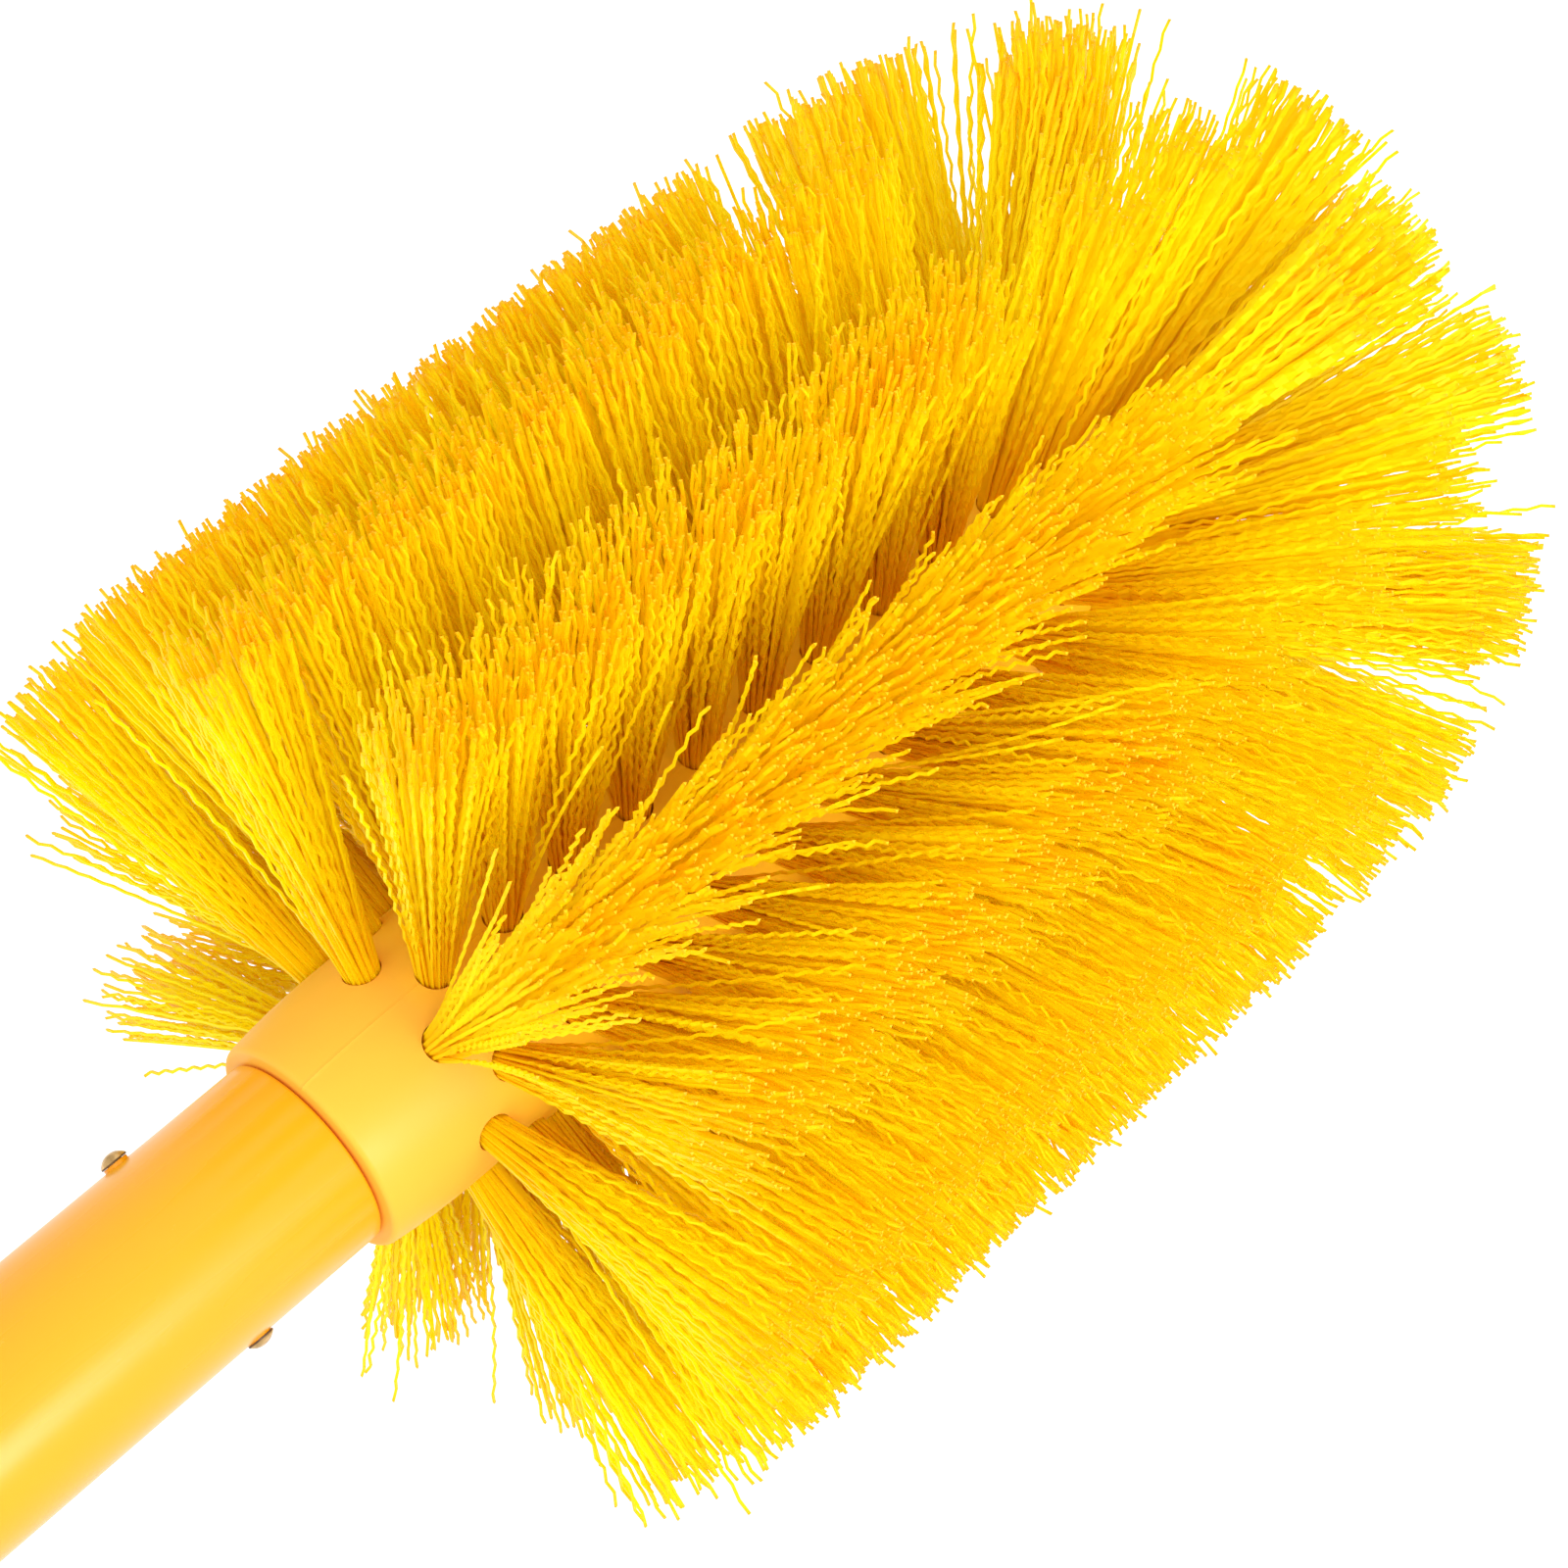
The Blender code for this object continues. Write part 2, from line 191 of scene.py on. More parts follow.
def start(add, name, **sizes):
    """Adds a primitive, names it and puts its place into its mesh."""
    bpy.ops.object.select_all(action="DESELECT")
    add(**sizes)
    thing = bpy.context.object
    thing.name = name
    thing.data.name = name
    set_in_place(thing)
    return thing


def cylinder(name, radius, depth, sides, **place):
    return start(bpy.ops.mesh.primitive_cylinder_add, name, vertices=sides, radius=radius, depth=depth,
                 end_fill_type="NGON", **place)


def set_in_place(thing):
    hold(thing)
    bpy.ops.object.transform_apply(location=True, rotation=True, scale=True)


def edit(thing):
    hold(thing)
    bpy.ops.object.mode_set(mode="EDIT")


def leave():
    bpy.ops.object.mode_set(mode="OBJECT")


def choose(thing, kind, rule):
    """Selects the corners, edges or faces that a rule accepts, and nothing else."""
    bpy.ops.mesh.select_mode(type=kind)
    bpy.ops.mesh.select_all(action="DESELECT")
    work = bmesh.from_edit_mesh(thing.data)
    for part in {"VERT": work.verts, "EDGE": work.edges, "FACE": work.faces}[kind]:
        if rule(part):
            part.select_set(True)
    bmesh.update_edit_mesh(thing.data)


def level(height):
    """A rule that accepts what lies at one height."""
    def rule(part):
        return all(abs(corner.co.z - height) < TOUCH for corner in getattr(part, "verts", [part]))
    return rule


def facing(way, height):
    """A rule that accepts a face which looks one way up or down at one height."""
    def rule(face):
        return face.normal.z * way > 0.99 and abs(face.calc_center_median().z - height) < TOUCH
    return rule


def slice_at(height):
    bpy.ops.mesh.select_all(action="SELECT")
    bpy.ops.mesh.bisect(plane_co=(0, 0, height), plane_no=(0, 0, 1), threshold=TOUCH)


def push(distance):
    """Extrudes what is selected upwards, or downwards where the distance is negative."""
    bpy.ops.mesh.extrude_region_move(TRANSFORM_OT_translate={"value": (0, 0, distance)})


def cut_with(target, cutter, operation="DIFFERENCE"):
    """A boolean by another object, which is used up."""
    hold(target)
    step = target.modifiers.new("cut", "BOOLEAN")
    step.object = cutter
    step.operation = operation
    step.solver = "EXACT"
    bpy.ops.object.modifier_apply(modifier=step.name)
    bpy.data.objects.remove(cutter, do_unlink=True)


def soften(thing, width, segments=3, angle=40):
    """Breaks every sharp edge of a piece."""
    hold(thing)
    step = thing.modifiers.new("edges", "BEVEL")
    step.width = width
    step.segments = segments
    step.limit_method = "ANGLE"
    step.angle_limit = math.radians(angle)
    bpy.ops.object.modifier_apply(modifier=step.name)


def shade(thing, angle=32):
    hold(thing)
    bpy.ops.object.shade_smooth_by_angle(angle=math.radians(angle))


def wear(thing, finish):
    thing.data.materials.clear()
    thing.data.materials.append(finish)


# Where the tufts stand

def outward(turn):
    """Away from the brush's axis at an angle round it. Angle 0 is -Y."""
    return Vector((-math.sin(turn), -math.cos(turn), 0))


def leaning(out, lean):
    """The direction of a tuft that leans from straight out towards the front."""
    return out * math.cos(lean) - Vector((0, 0, math.sin(lean)))


def tuft(out, way, root):
    """A tuft's root, its own direction, the direction round the block and the one towards the handle."""
    side = Vector((0, 0, 1)).cross(out)
    return root, way, side, side.cross(way) * -1


def row_tufts(row):
    out = outward(2 * math.pi * row / ROW_COUNT)
    last_leans = ODD_ROW_LAST_LEANS if row % 2 else EVEN_ROW_LAST_LEANS
    leans = (0,) * (TUFTS_PER_ROW - len(last_leans)) + last_leans
    tufts = []
    for number, lean in enumerate(leans):
        place = FIRST_TUFT + TUFT_PITCH * (number + STAGGER_SHARE * (row % 2))
        way = leaning(out, lean + math.radians(ROW_SHIFTS.get((row, number), 0)))
        tufts.append(tuft(out, way, out * BLOCK_RADIUS + Vector((0, 0, SEAM_Z - place))))
    return tufts


def nose_ring(ring):
    """One of the rings of tufts on the dome. The middle ring stands between the tufts of its neighbours.

    The innermost ring also has the tuft at the dome's tip.
    """
    flat = Vector((0, 0, SEAM_Z - BLOCK_BODY_LENGTH))
    tufts = []
    for number in range(NOSE_RING_TUFTS):
        out = outward(2 * math.pi * (number + STAGGER_SHARE * (ring % 2)) / NOSE_RING_TUFTS)
        way = leaning(out, NOSE_RING_LEANS[ring] + math.radians(RING_SHIFTS.get((ring, number), 0)))
        root = flat + out * (BLOCK_RADIUS - NOSE_ROUNDING) + way * NOSE_ROUNDING
        tufts.append(tuft(out, way, root))
    if ring == len(NOSE_RING_LEANS) - 1:
        down = Vector((0, 0, -1))
        tufts.append((flat + down * NOSE_ROUNDING, down, Vector((1, 0, 0)), Vector((0, 1, 0))))
    return tufts


# The block

def block_body(tufts):
    """A round bar with a domed front, a flared and rolled lip, a spigot, and a drilled hole for each tuft."""
    block = cylinder("block_body", BLOCK_RADIUS, BLOCK_LENGTH, ROUND_SIDES,
                     location=(0, 0, SEAM_Z - BLOCK_LENGTH / 2))
    edit(block)
    choose(block, "EDGE", level(SEAM_Z - BLOCK_LENGTH))
    bpy.ops.mesh.bevel(offset=NOSE_ROUNDING, segments=14, profile=0.5)
    flare_shares = (0.75, 0.5, 0.25, 0)
    for share in (1, *flare_shares[:-1]):
        slice_at(SEAM_Z - FLARE_LENGTH * share)
    for share in flare_shares:
        radius = BLOCK_RADIUS - (BLOCK_RADIUS - LIP_RADIUS) * (1 - share) ** 2
        choose(block, "VERT", level(SEAM_Z - FLARE_LENGTH * share))
        scale = radius / BLOCK_RADIUS
        bpy.ops.transform.resize(value=(scale, scale, 1))
    choose(block, "EDGE", level(SEAM_Z))
    bpy.ops.mesh.bevel(offset=LIP_ROUNDING, segments=6, profile=0.5)
    choose(block, "FACE", facing(1, SEAM_Z))
    bpy.ops.mesh.inset(thickness=LIP_RADIUS - LIP_ROUNDING - PLUG_RADIUS)
    push(SPIGOT_TOP_Z - SEAM_Z)
    mould_line(block)
    leave()
    drill_holes(block, tufts)
    shade(block)
    return block


def mould_line(block):
    """The faint raised line along two sides where the mould's halves met."""
    out = outward(-2 * math.pi / ROW_COUNT)
    side = Vector((0, 0, 1)).cross(out)

    def on_line(part):
        corners = getattr(part, "verts", [part])
        return all(abs(c.co.dot(side)) < TOUCH and c.co.xy.length > PLUG_RADIUS + TOUCH for c in corners)

    choose(block, "EDGE", on_line)
    bpy.ops.mesh.bevel(offset=MOULD_LINE_WIDTH, segments=2)
    choose(block, "VERT", on_line)
    bpy.ops.transform.shrink_fatten(value=MOULD_LINE_HEIGHT)


def drill_holes(block, tufts):
    """One drill is modelled, and a copy of it turned along each tuft cuts the hole."""
    drill = cylinder("drill", HOLE_RADIUS, HOLE_DEPTH * 2, 28)
    copies = []
    for root, way, _, _ in tufts:
        turned = drill.copy()
        turned.data = drill.data.copy()
        turned.matrix_world = Matrix.Translation(root) @ way.to_track_quat("Z", "Y").to_matrix().to_4x4()
        bpy.context.collection.objects.link(turned)
        copies.append(turned)
    bpy.data.objects.remove(drill, do_unlink=True)
    hold(copies[0])
    for turned in copies:
        turned.select_set(True)
    bpy.ops.object.join()
    cutter = bpy.context.object
    set_in_place(cutter)
    cut_with(block, cutter)


# The handle

def handle_pipe():
    """The tube: a bar opened through its ends, with broken edges and a raised collar round each pin hole."""
    pipe = cylinder("handle_pipe", TUBE_RADIUS, TUBE_TOP_Z - TUBE_FOOT_Z, ROUND_SIDES,
                    location=(0, 0, (TUBE_FOOT_Z + TUBE_TOP_Z) / 2))
    edit(pipe)
    for way, height in ((1, TUBE_TOP_Z), (-1, TUBE_FOOT_Z)):
        choose(pipe, "FACE", facing(way, height))
        bpy.ops.mesh.inset(thickness=TUBE_WALL)
        bpy.ops.mesh.delete(type="FACE")

    def bore_rim(edge):
        return edge.is_boundary

    choose(pipe, "EDGE", bore_rim)
    bpy.ops.mesh.bridge_edge_loops()
    leave()
    soften(pipe, EDGE_BREAK)
    along_x = (0, math.pi / 2, 0)
    for side, height in COLLAR_HEIGHTS.items():
        collar_x = side * (TUBE_RADIUS + height - TUBE_WALL / 2)
        collar = cylinder("collar", COLLAR_RADIUS, TUBE_WALL, COLLAR_SIDES,
                          location=(collar_x, 0, PIN_Z), rotation=along_x)
        cut_with(pipe, collar, "UNION")
        pin_drill = cylinder("pin_drill", PIN_SHANK_RADIUS * 1.1, TUBE_WALL * 4, COLLAR_SIDES,
                             location=(side * TUBE_RADIUS, 0, PIN_Z), rotation=along_x)
        cut_with(pipe, pin_drill)
    shade(pipe)
    return pipe


def pin_head(name, side):
    """A drive pin: a domed head over a shank with a point, laid along X."""
    height = PIN_HEAD_HEIGHTS[side]
    dome = (PIN_HEAD_RADIUS ** 2 + height ** 2) / (2 * height)
    underside = dome - height
    nail = start(bpy.ops.mesh.primitive_uv_sphere_add, name, segments=40, ring_count=32, radius=dome)
    edit(nail)
    bpy.ops.mesh.select_all(action="SELECT")
    bpy.ops.mesh.bisect(plane_co=(0, 0, underside), plane_no=(0, 0, 1), threshold=TOUCH,
                        clear_inner=True, use_fill=True)
    choose(nail, "FACE", facing(-1, underside))
    push(-PIN_RIM)
    bpy.ops.mesh.inset(thickness=PIN_HEAD_RADIUS - PIN_SHANK_RADIUS)
    push(-PIN_SHANK_LENGTH)
    push(-PIN_POINT_LENGTH)
    bpy.ops.transform.resize(value=(PIN_POINT_SHARE, PIN_POINT_SHARE, 1))
    leave()
    nail.rotation_euler = (0, side * math.pi / 2, 0)
    seat = TUBE_RADIUS + COLLAR_HEIGHTS[side] + PIN_CLEARANCE
    nail.location = (side * (seat + PIN_RIM - underside), 0, PIN_Z)
    set_in_place(nail)
    shade(nail)
    return nail


def hang_end():
    """The end cap: a plug and a rolled flange, with a flat round-topped tab and its hang hole."""
    cap = cylinder("hang_end", TUBE_RADIUS, FLANGE_THICKNESS, 96,
                   location=(0, 0, (FLANGE_FOOT_Z + FLANGE_TOP_Z) / 2))
    edit(cap)
    choose(cap, "FACE", facing(-1, FLANGE_FOOT_Z))
    bpy.ops.mesh.inset(thickness=TUBE_RADIUS - PLUG_RADIUS)
    push(-(SEAT_GAP + CAP_PLUG_LENGTH))
    leave()
    along_y = (math.pi / 2, 0, 0)
    ear = cylinder("tab", TAB_RADIUS, TAB_THICKNESS, 64, rotation=along_y)
    edit(ear)

    def lower_side(face):
        return face.normal.z < -0.01

    choose(ear, "FACE", lower_side)
    tab_foot = FLANGE_TOP_Z - TAB_SEAT
    push(tab_foot)
    bpy.ops.transform.resize(value=(1, 1, 0), center_override=(0, 0, tab_foot))
    leave()
    cut_with(cap, ear, "UNION")
    cut_with(cap, cylinder("hole", HANG_HOLE_RADIUS, TAB_THICKNESS * 2, 48, rotation=along_y))
    soften(cap, CAP_EDGE_BREAK)
    shade(cap)
    return cap


# Bristles

def strand_shape(rings):
    """One strand as rings of three corners, extruded a ring at a time and closed at its tip.

    Its rings lie at whole heights, so a corner's height is the number of its ring.
    """
    strand = start(bpy.ops.mesh.primitive_circle_add, "strand", vertices=3, radius=1, fill_type="NGON")
    edit(strand)
    for ring in range(rings):
        choose(strand, "FACE", standing_at(ring))
        push(1)
    bpy.ops.mesh.select_all(action="SELECT")
    bpy.ops.mesh.normals_make_consistent(inside=False)
    leave()
    corners = np.array([corner.co for corner in strand.data.vertices])
    faces = [list(face.vertices) for face in strand.data.polygons]
    bpy.data.objects.remove(strand, do_unlink=True)
    return corners, faces


def standing_at(height):
    """A rule that accepts the face at one whole height."""
    def rule(face):
        return all(abs(corner.co.z - height) < 0.1 for corner in face.verts)
    return rule


def comb(tufts, first, last, draw):
    """Roots, directions, bends and lengths of some of each tuft's strands, counted from its middle out."""
    total = OUTER_STRANDS + CORE_STRANDS
    number = np.arange(first, last)
    count = len(number)
    golden_turn = math.pi * (3 - math.sqrt(5))
    parts = []
    for root, way, side, rear in tufts:
        radius = np.sqrt((number + 0.5) / total)
        angle = number * golden_turn + draw.uniform(0, 2 * math.pi)
        across, along = radius * np.cos(angle), radius * np.sin(angle)
        stray = (draw.random(count) < STRAY_SHARE) & (radius > STRAY_FROM)
        w, s, r = np.array(way), np.array(side), np.array(rear)
        slopes = []
        bends = []
        for place in (across, along):
            slope = place * FAN * (1 + STRAY_FAN * stray) + draw.normal(0, FAN_SPREAD, count)
            slopes.append(slope)
            bend_spread = draw.normal(0, BEND_SPREAD, count) * (1 + STRAY_BEND * stray)
            bends.append(slope * BEND_SHARE + bend_spread)
        roots = np.array(root) + (across[:, None] * s + along[:, None] * r) * TUFT_ROOT_RADIUS
        ways = w + slopes[0][:, None] * s + slopes[1][:, None] * r
        ways /= np.linalg.norm(ways, axis=1)[:, None]
        length = BRISTLE_LENGTH / (ways @ w) + TRIM_OFF_CENTRE * ways[:, 0]
        length += draw.normal(0, TRIM_SPREAD, count) - draw.exponential(TRIM_SPREAD, count)
        length -= (draw.random(count) < SHORT_SHARE) * draw.uniform(*SHORT_LOSS, count)
        length += stray * draw.uniform(0, STRAY_LONGER, count)
        parts.append((roots, ways, bends[0][:, None] * s + bends[1][:, None] * r, length))
    return [np.concatenate(part) for part in zip(*parts)]


def crimped_lines(combed, rings, draw):
    """The middle line of each strand, waved in a plane of its own, and two directions across it."""
    roots, ways, bends, lengths = combed
    count = len(roots)
    helper = np.where(np.abs(ways[:, 2:3]) > 0.9, [[1.0, 0, 0]], [[0, 0, 1.0]])
    first = np.cross(ways, helper)
    first /= np.linalg.norm(first, axis=1)[:, None]
    second = np.cross(ways, first)
    spin = draw.uniform(0, 2 * math.pi, count)
    crimp = first * np.cos(spin)[:, None] + second * np.sin(spin)[:, None]
    straight = draw.uniform(*STRAIGHT_FOOT, count)
    places = straight[:, None] + (lengths - straight)[:, None] * np.arange(rings) / (rings - 1)
    places = np.concatenate([np.full((count, 1), -ROOT_DEPTH), places], axis=1)
    reach = CRIMP_REACH * draw.uniform(*CRIMP_STRANDS_DIFFER, (count, 1))
    reach = reach * draw.uniform(*CRIMP_WAVES_DIFFER, (count, rings + 1))
    reach *= np.clip(places / CRIMP_FULL_AT, 0, 1)
    reach[:, ::2] *= -1
    share = np.clip(places / BRISTLE_LENGTH, 0, None)
    line = roots[:, None, :] + ways[:, None, :] * places[:, :, None]
    line += bends[:, None, :] * (share ** 2 * BRISTLE_LENGTH)[:, :, None]
    line += crimp[:, None, :] * reach[:, :, None]
    return line, first, second


def strand_copies(combed, shape, draw):
    """Corners, faces and chart places of copies of the strand, one on each line.

    Across the chart lie the strands, each at a tone of its own, and up the chart lies a strand's length.
    """
    corners, faces = shape
    ring = np.rint(corners[:, 2]).astype(int)
    rings = ring.max()
    line, first, second = crimped_lines(combed, rings, draw)
    count = len(line)
    turned = first[:, None, :] * corners[None, :, 0:1] + second[:, None, :] * corners[None, :, 1:2]
    points = line[:, ring, :] + turned * STRAND_RADIUS
    flat = np.concatenate([np.array(face) for face in faces])
    loops = (flat[None, :] + np.arange(count)[:, None] * len(corners)).ravel()
    totals = np.tile([len(face) for face in faces], count)
    tone = draw.permutation(count) / count
    corner = np.rint(np.arctan2(corners[:, 1], corners[:, 0]) / (2 * math.pi) * 3).astype(int) % 3
    across = (tone[:, None] + (corner[flat][None, :] * 0.25 + 0.1) / count).ravel()
    upward = np.tile((ring / rings)[flat], count)
    return points.reshape(-1, 3), loops, totals, np.stack([across, upward], axis=1)


def bristles(name, tufts, shapes, seed):
    """All strands of some tufts as one piece. The core has the left half of the chart."""
    draw = np.random.default_rng(seed)
    core = strand_copies(comb(tufts, 0, CORE_STRANDS, draw), shapes[0], draw)
    outer = strand_copies(comb(tufts, CORE_STRANDS, CORE_STRANDS + OUTER_STRANDS, draw), shapes[1], draw)
    points = np.concatenate([core[0], outer[0]])
    loops = np.concatenate([core[1], outer[1] + len(core[0])])
    totals = np.concatenate([core[2], outer[2]])
    chart = np.concatenate([core[3] * (0.5, 1), outer[3] * (0.5, 1) + (0.5, 0)])
    mesh = bpy.data.meshes.new(name)
    mesh.vertices.add(len(points))
    mesh.vertices.foreach_set("co", points.astype(np.float32).ravel())
    mesh.loops.add(len(loops))
    mesh.loops.foreach_set("vertex_index", loops.astype(np.int32))
    mesh.polygons.add(len(totals))
    mesh.polygons.foreach_set("loop_start", np.concatenate([[0], np.cumsum(totals)[:-1]]).astype(np.int32))
    mesh.shade_flat()
    mesh.update(calc_edges=True)
    mesh.uv_layers.new(name="OFBake").data.foreach_set("uv", chart.astype(np.float32).ravel())
    mesh.validate()
    piece = bpy.data.objects.new(name, mesh)
    bpy.context.scene.collection.objects.link(piece)
    return piece


# Building finishes

def finish(name, colour, roughness, metallic=0.0):
    paint = bpy.data.materials.new(name)
    paint.use_nodes = True
    shader = paint.node_tree.nodes["Principled BSDF"]
    shader.inputs["Base Color"].default_value = (*colour, 1)
    shader.inputs["Roughness"].default_value = roughness
    shader.inputs["Metallic"].default_value = metallic
    return paint, shader


def node(paint, kind, values=(), **settings):
    made = paint.node_tree.nodes.new("ShaderNode" + kind)
    for key, value in settings.items():
        setattr(made, key, value)
    for key, value in dict(values).items():
        made.inputs[key].default_value = value
    return made


def link(paint, source, target):
    paint.node_tree.links.new(source, target)


def surface(paint, source):
    """Makes a shader's output the look of the whole finish."""
    link(paint, source, paint.node_tree.nodes["Material Output"].inputs["Surface"])


def work_out(paint, operation, source, value=0.0):
    """A sum on a pattern and a plain value, such as MULTIPLY."""
    made = node(paint, "Math", {1: value}, operation=operation)
    link(paint, source, made.inputs[0])
    return made.outputs[0]


def noise(paint, scale, stretch=(1, 1, 1), detail=3.0, roughness=0.5):
    """Noise on the piece's own coordinates, in ripples per metre, stretched along an axis."""
    place = node(paint, "TexCoord")
    mapping = node(paint, "Mapping", {"Scale": stretch})
    pattern = node(paint, "TexNoise", {"Scale": scale, "Detail": detail, "Roughness": roughness})
    link(paint, place.outputs["Object"], mapping.inputs["Vector"])
    link(paint, mapping.outputs["Vector"], pattern.inputs["Vector"])
    return pattern.outputs["Fac"]


def between(paint, source, low, high, from_low=0.0, from_high=1.0):
    """Carries a pattern to a range of values."""
    carried = node(paint, "MapRange", {"From Min": from_low, "From Max": from_high,
                                       "To Min": low, "To Max": high})
    link(paint, source, carried.inputs["Value"])
    return carried.outputs["Result"]


def mix(paint, share, first, second, blend="MIX"):
    """Mixes two colours. Each value is a plain one or another node's output."""
    made = node(paint, "Mix", data_type="RGBA", blend_type=blend)
    share_socket, first_socket, second_socket = (made.inputs[number] for number in (0, 6, 7))
    for value, socket in ((share, share_socket), (first, first_socket), (second, second_socket)):
        if isinstance(value, (tuple, float, int)):
            socket.default_value = (*value, 1) if isinstance(value, tuple) else value
        else:
            link(paint, value, socket)
    return made.outputs[2]


def bumps(paint, shader, height, distance, strength):
    made = node(paint, "Bump", {"Strength": strength, "Distance": distance})
    link(paint, height, made.inputs["Height"])
    link(paint, made.outputs["Normal"], shader.inputs["Normal"])
    return made


# The brush's finishes

def plastic(name, colour, dark, roughness, gloss, grain, depth, stretch=(1, 1, 1), painted_bristle_light=None):
    """Moulded or drawn plastic: slow colour drift, fine surface grain, and faint scuffs.

    Between the tufts the plastic takes a painted light colour: the warmer tint that light passed on by the
    bristles gives it there.
    """
    paint, shader = finish(name, colour, roughness)
    drift = noise(paint, 45, stretch)
    scuff = between(paint, noise(paint, 420, (1, 1, 0.35), 6, 0.7), 0, 1, 0.66, 0.74)
    body = mix(paint, between(paint, drift, 0, 1, 0.3, 0.7), dark, colour)
    # Painted light: the block turns warmer between the tufts, as light passed on by the bristles would tint
    # it.
    if painted_bristle_light:
        place = node(paint, "TexCoord")
        parts = node(paint, "SeparateXYZ")
        link(paint, place.outputs["Object"], parts.inputs["Vector"])
        bristle_light_from = SEAM_Z - FIRST_TUFT - TUFT_PITCH
        clear_of_bristle_light = between(paint, parts.outputs["Z"], 0, 1, bristle_light_from, SEAM_Z - FIRST_TUFT)
        body = mix(paint, clear_of_bristle_light, painted_bristle_light, body)
    pale = tuple(min(1, c * 1.05 + 0.02) for c in colour)
    link(paint, mix(paint, between(paint, scuff, 0, 0.5), body, pale), shader.inputs["Base Color"])
    rough = noise(paint, 160, stretch)
    scuffed_rough = node(paint, "Math", operation="ADD")
    unscuffed = between(paint, rough, roughness - 0.05, roughness + 0.05, 0.25, 0.75)
    link(paint, unscuffed, scuffed_rough.inputs[0])
    link(paint, between(paint, scuff, 0, 0.14), scuffed_rough.inputs[1])
    link(paint, scuffed_rough.outputs[0], shader.inputs["Roughness"])
    shader.inputs["Specular IOR Level"].default_value = gloss
    bumps(paint, shader, noise(paint, grain, stretch, 2), depth, 0.35)
    return paint


# A strand's colour from its root to its cut tip, by its share of the length. It carries painted light: paler
# along the middle, which lies deep in the tufts, to stand in for light that can't reach there, and warmer at
# the root and the cut tip, like light that has passed through many strands.
STRAND_COLOURS_WITH_PAINTED_LIGHT = (
    (0.0, (1.0, 0.84, 0.004)),
    (0.35, (1.0, 0.94, 0.004)),
    (0.8, (1.0, 0.945, 0.004)),
    (0.96, (1.0, 0.86, 0.004)),
    (0.985, (1.0, 0.84, 0.004)),
    (1.0, (1.0, 0.66, 0.01)),
)
STRAND_RIPPLES = 330.0
STRAND_TRANSLUCENCY = 0.25


def bristle_finish():
    """Yellow polyester: a little translucent, with a tone for each strand, and with painted light along its
    length, warmer at root and tip and paler between.
    """
    paint, shader = finish("bristle_polyester_yellow", (0.99, 0.60, 0.005), 0.45)
    chart = node(paint, "UVMap", uv_map="OFBake")
    parts = node(paint, "SeparateXYZ")
    link(paint, chart.outputs["UV"], parts.inputs["Vector"])
    along = parts.outputs["Y"]
    tone = work_out(paint, "FRACT", work_out(paint, "MULTIPLY", parts.outputs["X"], 2.0))
    # The colour along each strand is painted light.
    length = node(paint, "ValToRGB")
    root, *middle, tip = STRAND_COLOURS_WITH_PAINTED_LIGHT
    ramp = length.color_ramp.elements
    ramp[0].color = (*root[1], 1)
    ramp[1].color = (*tip[1], 1)
    for place, colour in middle:
        ramp.new(place).color = (*colour, 1)
    link(paint, along, length.inputs["Fac"])
    shift = mix(paint, tone, (1.0, 0.96, 0.7), (1.0, 1.0, 1.0))
    colour = mix(paint, 1.0, length.outputs["Color"], shift, "MULTIPLY")
    link(paint, colour, shader.inputs["Base Color"])
    link(paint, between(paint, tone, 0.36, 0.56), shader.inputs["Roughness"])
    shader.inputs["Specular IOR Level"].default_value = 0.15
    wave = work_out(paint, "SINE", work_out(paint, "MULTIPLY", along, STRAND_RIPPLES))
    bump = bumps(paint, shader, wave, 0.00001, 0.3)
    glow = node(paint, "BsdfTranslucent")
    link(paint, colour, glow.inputs["Color"])
    link(paint, bump.outputs["Normal"], glow.inputs["Normal"])
    both = node(paint, "MixShader", {0: STRAND_TRANSLUCENCY})
    link(paint, shader.outputs[0], both.inputs[1])
    link(paint, glow.outputs[0], both.inputs[2])
    surface(paint, both.outputs[0])
    return paint


def brass_finish():
    """Brass with patches of tarnish."""
    paint, shader = finish("tarnished_brass", (0.62, 0.48, 0.24), 0.28, 1.0)
    mottle = between(paint, noise(paint, 900, detail=5), 0, 1, 0.4, 0.7)
    link(paint, mix(paint, mottle, (0.70, 0.45, 0.19), (0.34, 0.2, 0.07)), shader.inputs["Base Color"])
    link(paint, between(paint, mottle, 0.2, 0.42), shader.inputs["Roughness"])
    bumps(paint, shader, noise(paint, 1800, detail=3), 0.00004, 0.3)
    return paint


def pin_rim_shade_finish():
    """Painted shade: a dark, mottled brown for the line under the pin head, where little of the brass shows.
    """
    paint, shader = finish("brass_painted_rim_shade", (0.13, 0.07, 0.02), 0.6)
    mottle = between(paint, noise(paint, 1200, detail=4), 0, 1, 0.35, 0.65)
    link(paint, mix(paint, mottle, (0.17, 0.09, 0.025), (0.07, 0.035, 0.01)), shader.inputs["Base Color"])
    link(paint, between(paint, mottle, 0.5, 0.75), shader.inputs["Roughness"])
    bumps(paint, shader, noise(paint, 2000, detail=3), 0.00003, 0.3)
    return paint


def paint_rim_shade(pin, paint):
    """Puts painted shade on the pin's rim, which faces sideways, so that a dark line shows under its dome."""
    pin.data.materials.append(paint)
    for face in pin.data.polygons:
        face.material_index = int(abs(face.normal.x) < 0.4)


TUBE_LOOK = dict(colour=(0.92, 0.41, 0.006), dark=(0.90, 0.395, 0.005), roughness=0.27, gloss=0.4,
                 grain=1500, depth=0.000006, stretch=(1, 1, 0.04))
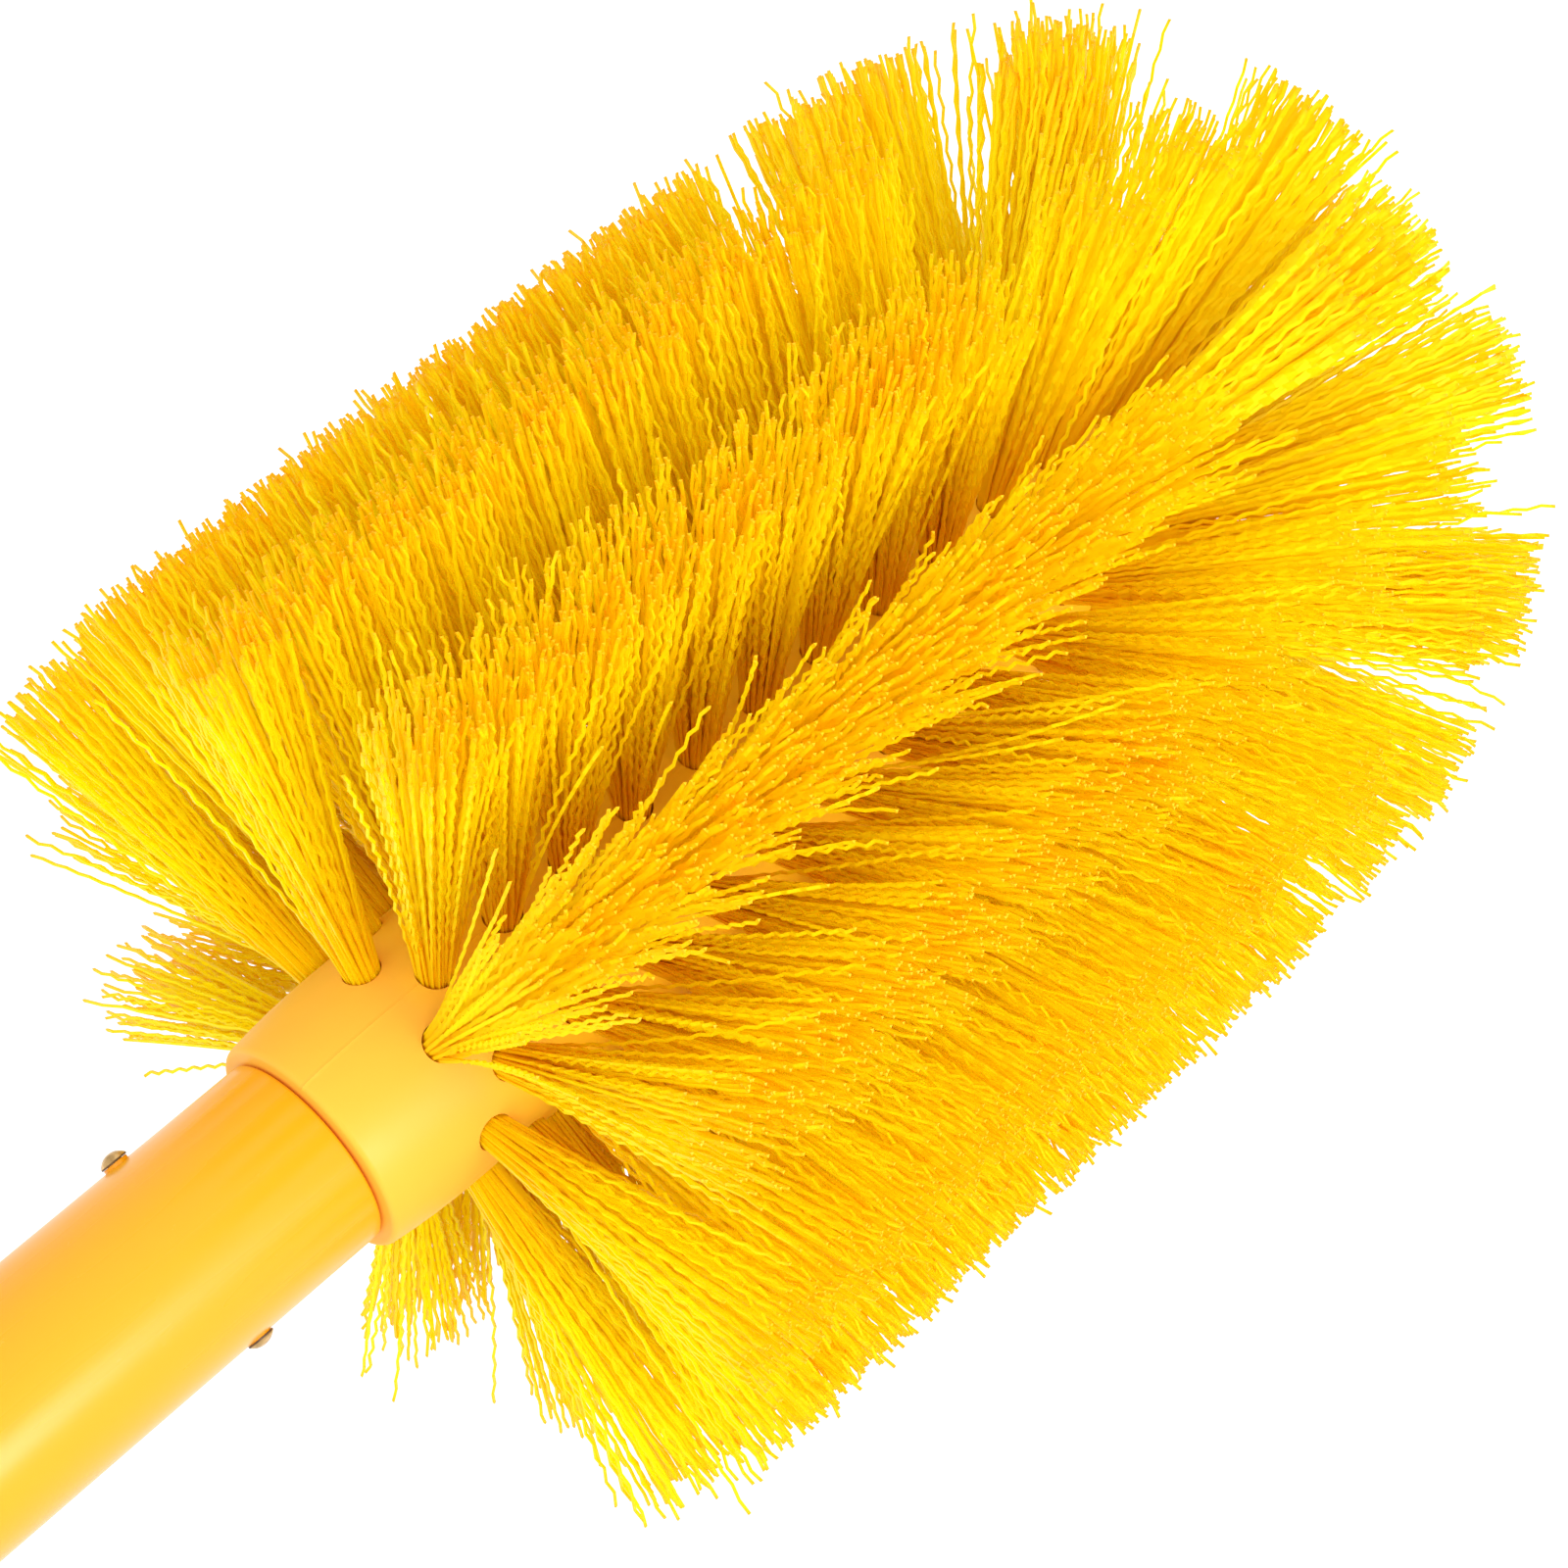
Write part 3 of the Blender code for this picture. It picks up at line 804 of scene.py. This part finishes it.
# The block's third colour is painted light from the bristles, laid between the tufts.
BLOCK_LOOK = dict(colour=(0.93, 0.50, 0.055), dark=(0.91, 0.48, 0.047), roughness=0.45, gloss=0.12,
                  grain=1300, depth=0.00003, painted_bristle_light=(0.97, 0.60, 0.01))
CAP_LOOK = dict(colour=(0.92, 0.41, 0.006), dark=(0.90, 0.39, 0.005), roughness=0.36, gloss=0.4,
                grain=1300, depth=0.00003)


# Stage

def floor_finish():
    """A pale floor that the camera sees as white where it is lit, and that keeps the brush's shadow."""
    paint, shader = finish("pale_floor", (0.82, 0.82, 0.82), 0.9)
    shader.inputs["Specular IOR Level"].default_value = 0.0
    path = node(paint, "LightPath")
    seen = node(paint, "Math", operation="MAXIMUM")
    link(paint, path.outputs["Is Camera Ray"], seen.inputs[0])
    link(paint, path.outputs["Is Glossy Ray"], seen.inputs[1])
    glow = node(paint, "Emission")
    link(paint, between(paint, seen.outputs[0], 0.0, 0.45), glow.inputs["Strength"])
    total = node(paint, "AddShader")
    link(paint, shader.outputs[0], total.inputs[0])
    link(paint, glow.outputs[0], total.inputs[1])
    surface(paint, total.outputs[0])
    return paint


def pass_light_deep():
    """Dense tufts of bright translucent strands pass light on many times before it comes out again."""
    cycles = bpy.context.scene.cycles
    cycles.max_bounces = LIGHT_BOUNCES
    cycles.diffuse_bounces = LIGHT_BOUNCES
    cycles.transmission_bounces = LIGHT_BOUNCES


def studio():
    """A plain white world and a floor under the brush."""
    world = bpy.data.worlds.new("studio")
    bpy.context.scene.world = world
    world.use_nodes = True
    sky = world.node_tree.nodes["Background"]
    sky.inputs["Color"].default_value = (1, 1, 1, 1)
    sky.inputs["Strength"].default_value = 1.0
    bpy.ops.object.select_all(action="DESELECT")
    bpy.ops.mesh.primitive_plane_add(size=FLOOR_SIZE, location=(0, 0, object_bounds()[0].z - FLOOR_DROP))
    floor = bpy.context.object
    floor.name = "floor"
    set_in_place(floor)
    wear(floor, floor_finish())
    floor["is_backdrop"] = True


# The gleam lamp shows only in the gloss, and the front lamp lights without showing there
LAMPS = {
    "key": dict(azimuth=-37, height=3, distance=0.7, size=(0.32, 0.5), power=2.3),
    "gleam": dict(azimuth=-37, height=9, distance=0.69, size=(0.22, 0.36), power=7.5, lights=False),
    "front": dict(azimuth=-10, height=27, distance=1.2, size=(0.4, 0.4), power=3.5, shines=False),
    "fill": dict(azimuth=60, height=25, distance=1.1, size=(0.8, 0.8), power=0.8),
    "back": dict(azimuth=160, height=30, distance=1.2, size=(0.8, 0.8), power=1.5),
}


def softbox(name, azimuth, height, distance, size, power, shines=True, lights=True):
    """A lamp that looks at the middle of the head. Azimuth 0 stands at -Y, and both angles are in degrees."""
    aim = Vector((0, 0, SEAM_Z - BLOCK_LENGTH / 2))
    turn = math.radians(azimuth)
    rise = math.radians(height)
    way = Vector((math.sin(turn) * math.cos(rise), -math.cos(turn) * math.cos(rise), math.sin(rise)))
    lamp = bpy.data.lights.new(name, "AREA")
    lamp.shape = "RECTANGLE"
    lamp.size, lamp.size_y = size
    lamp.energy = power
    thing = bpy.data.objects.new(name, lamp)
    thing.location = aim + way * distance
    thing.rotation_euler = way.to_track_quat("Z", "Y").to_euler()
    thing.visible_glossy = shines
    thing.visible_diffuse = lights
    thing.visible_transmission = lights
    bpy.context.scene.collection.objects.link(thing)


def camera():
    lens = bpy.data.cameras.new("photo_camera")
    lens.lens = CAMERA_LENS
    lens.sensor_width = 36
    lens.clip_start = 0.01
    thing = bpy.data.objects.new("photo_camera", lens)
    bpy.context.scene.collection.objects.link(thing)
    back = -CAMERA_FACING.normalized()
    right = CAMERA_UP.cross(back).normalized()
    up = back.cross(right)
    thing.matrix_world = Matrix.Translation(CAMERA_PLACE) @ Matrix((right, up, back)).transposed().to_4x4()
    bpy.context.scene.camera = thing


def main():
    bpy.context.scene.view_settings.view_transform = "Standard"
    pass_light_deep()
    rows = [row_tufts(row) for row in range(ROW_COUNT)]
    nose = [nose_ring(ring) for ring in range(len(NOSE_RING_LEANS))]
    all_tufts = [each for group in rows + nose for each in group]
    block_paint = plastic("block_plastic_yellow", **BLOCK_LOOK)
    tube_paint = plastic("tube_plastic_orange", **TUBE_LOOK)
    cap_paint = plastic("cap_plastic_orange", **CAP_LOOK)
    brass = brass_finish()
    rim_shade = pin_rim_shade_finish()
    strand_paint = bristle_finish()
    pieces = [
        (block_body(all_tufts), "brush_block", "block_plastic", block_paint),
        (handle_pipe(), "handle_tube", "tube_plastic", tube_paint),
        (hang_end(), "hang_cap", "cap_plastic", cap_paint),
        (pin_head("pin_left", LEFT), "tube_pin_left", "pin_brass", brass),
        (pin_head("pin_right", RIGHT), "tube_pin_right", "pin_brass", brass),
    ]
    shapes = [strand_shape(CORE_RINGS), strand_shape(OUTER_RINGS)]
    for row in range(ROW_COUNT):
        piece = bristles(f"bristle_row_{row + 1:02d}", rows[row], shapes, ROW_SEED + row)
        pieces.append((piece, f"tuft_row_{row + 1:02d}", "bristle_polyester", strand_paint))
    for ring, name in enumerate(NOSE_RING_NAMES):
        piece = bristles(f"nose_bristles_{name}", nose[ring], shapes, RING_SEED + ring)
        pieces.append((piece, "nose_tufts", "bristle_polyester", strand_paint))
    for piece, stands_for, slot, paint in pieces:
        wear(piece, paint)
        # The pin's rim gets painted shade: a dark line under its head.
        if slot == "pin_brass":
            paint_rim_shade(piece, rim_shade)
        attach(piece, "root")
        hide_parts(stands_for)
    studio()
    for name, settings in LAMPS.items():
        softbox(name, **settings)
    camera()


main()
